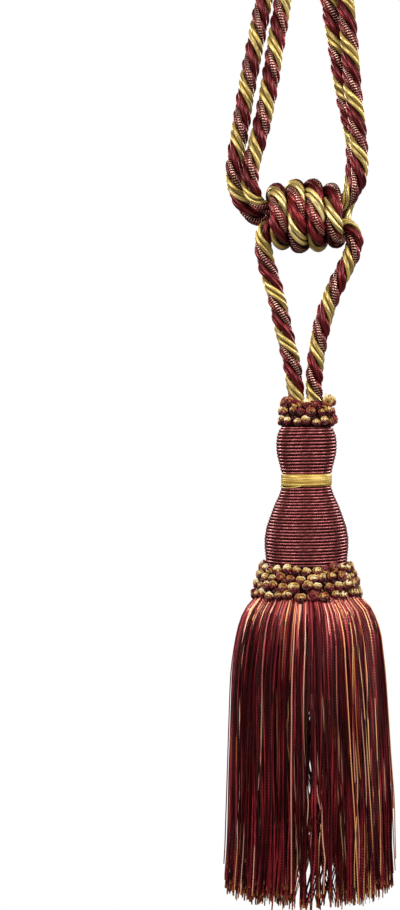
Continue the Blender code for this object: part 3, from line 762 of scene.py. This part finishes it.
def buildRuff(ruff):
    chance = random.Random(ruff["seed"])
    step = fullTurn / ruff["around"]
    knots = []
    for row, (radius, z, size) in enumerate(ruff["rows"]):
        for i in range(ruff["around"]):
            angle = step * (i + 0.5 * (row % 2) + eitherWay(chance, ruffs["angleSpread"]))
            pick = chance.random()
            upper = pickTone(chance, pick, ruffs["upperTones"])
            lower = pickTone(chance, pick, ruffs["lowerTones"])
            if row == 0:
                lower += ruffs["topRowPaler"]
            knots.append(threadKnot(
                angle, radius - ruffs["seat"], z + eitherWay(chance, ruffs["heightSpread"]),
                size * chance.uniform(*ruffs["sizes"]), chance.uniform(0.0, fullTurn),
                chance.uniform(*ruffs["lifts"]), (lower, upper)))
    for row, (radius, z, size) in enumerate(ruff["behind"]):        # painted shade: darker knots set back between the rows
        for i in range(ruff["around"]):
            angle = step * (i + ruffs["behindShift"] + 0.5 * (row % 2)
                            + eitherWay(chance, ruffs["behindAngleSpread"]))
            tones = chance.choice(ruffs["behindShadeTones"])
            knots.append(threadKnot(
                angle, radius - ruffs["seat"], z + eitherWay(chance, ruffs["behindHeightSpread"]),
                size, chance.uniform(0.0, fullTurn), 0.0, tones))
    for angle, radius, z, size, roll, tones in ruff.get("loops", ()):
        knots.append(threadKnot(angle, radius, z, size, roll, 0.0, tones))
    knotted = sweepStrands(ruff["name"], knots, ruffs["sides"], [knotYarn])
    core = turnedPiece(ruff["name"] + "Core", ruff["core"], ruffs["coreSides"], paintedShadeCore,
                       closed=True)
    for piece in (knotted, core):
        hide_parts(ruff["node"])


buildRuff(ruffs["top"])
buildRuff(ruffs["bottom"])
tell("ruffs knotted")


# skirt: cut threads in small bundles hanging from under the lower ruff

skirt = {
    # radius, height and lean to the right of the outer threads; millimetres
    "levels": [(26.0, -326.0, 0.6), (29.6, -330.8, 0.8), (33.2, -334.6, 1.0),
               (35.8, -340.6, 0.9), (37.8, -347.6, 1.0), (39.2, -357.0, 0.7),
               (40.5, -368.0, 0.6), (41.8, -391.0, 0.9), (42.8, -414.0, 1.2),
               (43.8, -437.0, 1.6), (44.6, -461.0, 1.6), (46.0, -484.0, 1.2)],
    "levelSpacing": 0.8,
    "pieces": [
        {"name": "skirtOuter", "bundles": 380, "depth": (0.0, 0.12), "sides": 4, "seed": 21},
        {"name": "skirtMiddle", "bundles": 510, "depth": (0.06, 0.3), "sides": 3, "seed": 23},
        {"name": "skirtInner", "bundles": 510, "depth": (0.3, 1.0), "sides": 3, "seed": 22},
    ],
    # from what height down, and over what length: threads swing free, pale ones sink in
    # among the others, and all grow a little brighter, painted light that makes up for the lamps
    # lighting the lower skirt less
    "fall": (-330.0, 150.0), "sinking": (-336.0, 26.0), "low": (-400.0, 60.0),
    "gather": 0.42, "gatherTop": 0.35, "leastRadius": 8.0, "crowding": 1.25,
    "threads": 3, "points": 22, "bundleTurn": 0.02, "spread": 1.8,
    "strayShare": 0.07, "stray": 9.0, "locks": 84, "lockPull": 0.5,
    "sway": (0.6, 2.8), "swayRates": (0.4, 1.3), "wanderRates": (0.8, 2.2), "inward": 0.5,
    "endLow": -484.0, "endOften": -479.0, "endHigh": -472.0, "bundleEnds": 2.5,
    "shortShare": 0.05, "shortBy": (4.0, 18.0), "startSpread": 5.0,
    "dyeShares": (0.48, 0.27, 0.25), "strayDyes": (9, 1, 1), "keepDye": 0.5,
    "sinks": (0.1, 1.4, 2.2, 3.0, 3.8), "sinkSpread": (-0.1, 0.4),
    # tones: painted highlight, brighter where the threads bend out under the ruff and face the lamps
    "litFrom": -330.0, "litLength": 11.0, "litGain": 0.7,
    "toneSpread": 0.27, "toneLeast": 0.04, "deepShade": 0.3, "sheenRates": (1.0, 3.5),
    "maroon": {"thick": (0.3, 0.43), "wander": (0.2, 0.9), "tone": 0.38, "sheen": 0.2,
               "low": 0.2, "lit": 0.17, "most": 0.82, "litMost": 0.93},
    "pale": {"thick": (0.21, 0.31), "wander": (0.6, 2.3), "tone": 0.72, "sheen": 0.1,
             "low": 0.38, "lit": 0.06, "most": 1.0, "litMost": 1.0},
    # slits low down, where the threads part: across, half width, top and bottom
    "partingEase": 5.0, "partingReach": 1.2, "partingClear": 0.55,
    "partings": [(1.6, 0.3, -382.0, -402.0), (1.9, 0.3, -408.0, -430.0),
                 (1.6, 0.3, -430.0, -450.0), (6.1, 0.6, -424.0, -446.0),
                 (-4.4, 0.5, -460.0, -490.0),
                 (1.0, 0.5, -452.0, -490.0), (4.0, 0.4, -464.0, -490.0),
                 (8.0, 0.6, -448.0, -478.0), (10.4, 0.5, -460.0, -490.0),
                 (14.0, 0.5, -456.0, -484.0)],
    # single threads that stand off the outline: angle, stand-off, end and finish
    "flyawayThick": 0.3, "flyawayTone": 0.7, "flyawaySway": 1.2, "flyawayRates": (0.5, 1.0),
    "flyaways": [(1.52, 1.6, -468.0, 1), (1.66, 1.1, -476.0, 2), (1.4, 1.4, -440.0, 0),
                 (-1.5, 0.7, -470.0, 0), (-0.2, 1.6, -474.0, 2),
                 (0.5, 1.8, -480.0, 1), (2.6, 2.0, -476.0, 0), (-2.5, 1.8, -470.0, 2)],
}

skirtYarn = {
    **plainYarn, "twist": 1.5, "plies": 1, "fibres": 1.2, "fibreLength": 5.0, "streaks": 0.6,
    "grooveShade": 0.8, "fibreRelief": 0.4, "twistRelief": 0.8, "roughness": 0.36,
    "specular": 0.35, "bump": 0.8, "relief": 0.22, "lustre": 0.35,
}

maroonThread = yarnFinish("maroonThread", {
    **skirtYarn, "glint": (1.0, 0.45, 0.45),
    # the stops above 0.82 are reached only where lit brightens the top: painted highlight colours
    "dyes": [(0.0, (0.01, 0.0006, 0.001)), (0.45, (0.038, 0.0013, 0.0026)),
             (0.7, (0.15, 0.006, 0.011)), (0.9, (0.42, 0.036, 0.046)), (1.0, (0.62, 0.13, 0.13))],
    "tip": {"from": 0.985, "colour": (0.34, 0.1, 0.03)}})

goldThread = yarnFinish("goldThread", {
    **skirtYarn, "grooveShade": 0.5, "twistRelief": 0.4, "glint": (1.0, 0.72, 0.45),
    "dyes": [(0.0, (0.34, 0.06, 0.018)), (0.5, (0.76, 0.26, 0.075)), (1.0, (1.0, 0.58, 0.26))],
    "tip": {"from": 0.97, "colour": (0.8, 0.44, 0.12)}})

peachThread = yarnFinish("peachThread", {
    **skirtYarn, "grooveShade": 0.5, "twistRelief": 0.4, "glint": (1.0, 0.68, 0.6),
    "dyes": [(0.0, (0.26, 0.02, 0.02)), (0.35, (0.52, 0.08, 0.05)), (0.65, (0.74, 0.25, 0.17)),
             (1.0, (1.0, 0.54, 0.38))],
    "tip": {"from": 0.97, "colour": (0.8, 0.4, 0.14)}})

skirtProfile = smoothLine([(*level, 0.0) for level in skirt["levels"]],
                          skirt["levelSpacing"])[0]


def below(z, span):
    # 0 above the height where a span begins, 1 its length further down
    top, length = span
    return np.clip((top - z) / length, 0.0, 1.0)


def hangThread(angle, depth, end, drift, sway, standOff):
    # one thread from under the ruff to its cut end; sway lists waves as size, rate and offset
    share = np.linspace(0.0, 1.0, skirt["points"])
    z = skirtProfile[0, 1] + (end - skirtProfile[0, 1]) * share ** skirt["crowding"]
    radius = np.interp(-z, -skirtProfile[:, 1], skirtProfile[:, 0])
    lean = np.interp(-z, -skirtProfile[:, 1], skirtProfile[:, 2])
    fall = below(z, skirt["fall"])
    gathered = skirt["gatherTop"] + (1.0 - skirt["gatherTop"]) * np.sqrt(fall)
    radius = radius * (1.0 - skirt["gather"] * depth * gathered)
    aside = sum(size * fall * np.sin(fullTurn * rate * share + offset)
                for size, rate, offset in sway)
    inward = sum(skirt["inward"] * size * fall * np.cos(fullTurn * rate * share + offset)
                 for size, rate, offset in sway)
    lock = fullTurn / skirt["locks"]
    pull = (round(angle / lock) * lock - angle) * skirt["lockPull"] * fall ** 2
    turn = angle + pull + (drift * fall + aside) / np.maximum(radius, skirt["leastRadius"])
    off = np.sqrt(fall) if standOff > 0.0 else below(z, skirt["sinking"])
    points = onAxis(turn, radius - np.abs(inward) + standOff * off, z)
    points[:, 0] += lean
    for x, half, top, bottom in skirt["partings"]:
        window = np.clip(np.minimum(top - z, z - bottom) / skirt["partingEase"], 0.0, 1.0)
        away = points[:, 0] - x
        push = (half + skirt["partingClear"]) * window
        push = push * np.exp(-(away / skirt["partingReach"]) ** 2)
        points[:, 0] += np.where(away < 0.0, -push, push)
    return points


def threadTone(chance, kind, depth, z):
    # tones down one thread of a kind, maroon or pale
    # painted highlight: lit brightens the tones near the top of the skirt
    lit = np.exp((z - skirt["litFrom"]) / skirt["litLength"])
    # painted light: tones brighter low down on the skirt
    low = kind["low"] * below(z, skirt["low"])
    # painted sheen: the tone rises and falls along each thread
    waves = chance.uniform(*skirt["sheenRates"]) * np.linspace(0.0, 1.0, len(z))
    sheen = kind["sheen"] * np.sin(fullTurn * (waves + chance.random()))
    # painted shade: threads lying deeper in the skirt take darker tones
    middle = kind["tone"] - skirt["deepShade"] * depth
    tone = chance.gauss(middle, skirt["toneSpread"]) + sheen + low
    tone = np.clip(tone, skirt["toneLeast"], kind["most"])
    tone = tone * (1.0 + skirt["litGain"] * lit) + kind["lit"] * lit
    return np.clip(tone, 0.0, kind["litMost"])


def buildSkirtPiece(layer):
    chance = random.Random(layer["seed"])
    finishes = (0, 1, 2)                            # maroon, gold and peach
    strands = []
    for _ in range(layer["bundles"]):
        angle = chance.uniform(-math.pi, math.pi)
        depth = chance.uniform(*layer["depth"])
        shared = chance.choices(finishes, skirt["dyeShares"])[0]
        swing = (chance.uniform(*skirt["sway"]), chance.uniform(*skirt["swayRates"]),
                 chance.uniform(0.0, fullTurn))
        bundleEnd = eitherWay(chance, skirt["bundleEnds"])
        for _ in range(skirt["threads"]):
            end = chance.triangular(skirt["endHigh"], skirt["endLow"], skirt["endOften"])
            end += bundleEnd
            if chance.random() < skirt["shortShare"]:
                end += chance.uniform(*skirt["shortBy"])
            end = max(end, skirt["endLow"])
            drift = chance.gauss(0.0, skirt["spread"])
            if chance.random() < skirt["strayShare"]:
                drift = eitherWay(chance, skirt["stray"])
            turn = angle + eitherWay(chance, skirt["bundleTurn"])
            dye = shared
            if chance.random() >= skirt["keepDye"]:
                dye = chance.choices(finishes, skirt["strayDyes"])[0]
            kind = skirt["pale" if dye else "maroon"]
            own = (chance.uniform(*kind["wander"]), chance.uniform(*skirt["wanderRates"]),
                   chance.uniform(0.0, fullTurn))
            sink = 0.0
            if dye:
                sink = chance.choice(skirt["sinks"]) + chance.uniform(*skirt["sinkSpread"])
            points = hangThread(turn, depth, end, drift, (swing, own), -sink)
            thick = chance.uniform(*kind["thick"])
            tone = threadTone(chance, kind, depth, points[:, 2])
            strands.append({"points": points * mm, "thick": thick * mm, "tone": tone,
                            "finish": dye,
                            "start": chance.uniform(0.0, skirt["startSpread"]) * mm})
    if layer["depth"][0] == 0.0:
        for angle, standOff, end, finish in skirt["flyaways"]:
            waves = ((skirt["flyawaySway"], chance.uniform(*skirt["flyawayRates"]),
                      chance.uniform(0.0, fullTurn)),)
            points = hangThread(angle, 0.0, end, 1.0, waves, standOff)
            strands.append({"points": points * mm, "thick": skirt["flyawayThick"] * mm,
                            "tone": skirt["flyawayTone"], "finish": finish})
    piece = sweepStrands(layer["name"], strands, layer["sides"],
                         [maroonThread, goldThread, peachThread])
    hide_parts("skirt")


for layer in skirt["pieces"]:
    buildSkirtPiece(layer)
tell("skirt hung")


# studio: a pale floor below, soft boxes round about, a plain pale surrounding

studio = {
    "floorZ": -1.2, "floorRadius": 1.4, "floorSides": 96,
    "paper": (0.9, 0.9, 0.9), "paperRoughness": 0.9,
    "tallest": 0.22,                                # lamp boxes are wide and low
    "lamps": [
        {"name": "frontBox", "place": (0.0, -0.5, 0.36), "size": 1.1, "power": 5.2},
        {"name": "leftBox", "place": (-0.56, -0.44, 0.02), "size": 0.75, "power": 7.0},
        {"name": "rightBox", "place": (0.58, -0.42, 0.02), "size": 0.75, "power": 7.0},
        {"name": "backLeftBox", "place": (-0.6, 0.6, 0.1), "size": 0.4, "power": 5.0},
        {"name": "backRightBox", "place": (0.6, 0.6, 0.1), "size": 0.4, "power": 5.0},
    ],
    "aim": (0.0, 0.0, -0.22),
    "surround": 1.0, "ambient": 0.07,
}


def buildStudio():
    disc = bmesh.new()
    bmesh.ops.create_circle(disc, cap_ends=True, segments=studio["floorSides"],
                            radius=studio["floorRadius"])
    mesh = bpy.data.meshes.new("paleFloor")
    disc.to_mesh(mesh)
    disc.free()
    paper = bpy.data.materials.new("palePaper")
    paper.use_nodes = True
    shader = paper.node_tree.nodes["Principled BSDF"]
    shader.inputs["Base Color"].default_value = (*studio["paper"], 1.0)
    shader.inputs["Roughness"].default_value = studio["paperRoughness"]
    mesh.materials.append(paper)
    floor = bpy.data.objects.new("paleFloor", mesh)
    floor.location.z = studio["floorZ"]
    collection.objects.link(floor)
    for lamp in studio["lamps"]:
        data = bpy.data.lights.new(lamp["name"], "AREA")
        data.shape = "RECTANGLE"
        data.size = lamp["size"]
        data.size_y = min(lamp["size"] / 2.0, studio["tallest"])
        data.energy = lamp["power"]
        item = bpy.data.objects.new(lamp["name"], data)
        item.location = lamp["place"]
        aim = Vector(studio["aim"]) - Vector(lamp["place"])
        item.rotation_euler = aim.to_track_quat("-Z", "Y").to_euler()
        collection.objects.link(item)
    world = bpy.data.worlds.new("studioAir")
    world.use_nodes = True
    nodes, link = world.node_tree.nodes, world.node_tree.links.new
    air = nodes["Background"]
    air.inputs["Color"].default_value = (1.0, 1.0, 1.0, 1.0)
    rays = nodes.new("ShaderNodeLightPath")         # bright to look at, dim as a lamp
    level = nodes.new("ShaderNodeMapRange")
    level.inputs["To Min"].default_value = studio["ambient"]
    level.inputs["To Max"].default_value = studio["surround"]
    link(rays.outputs["Is Camera Ray"], level.inputs["Value"])
    link(level.outputs["Result"], air.inputs["Strength"])
    bpy.context.scene.world = world
    bpy.context.scene.view_settings.view_transform = "Standard"


buildStudio()
tell("studio lit")
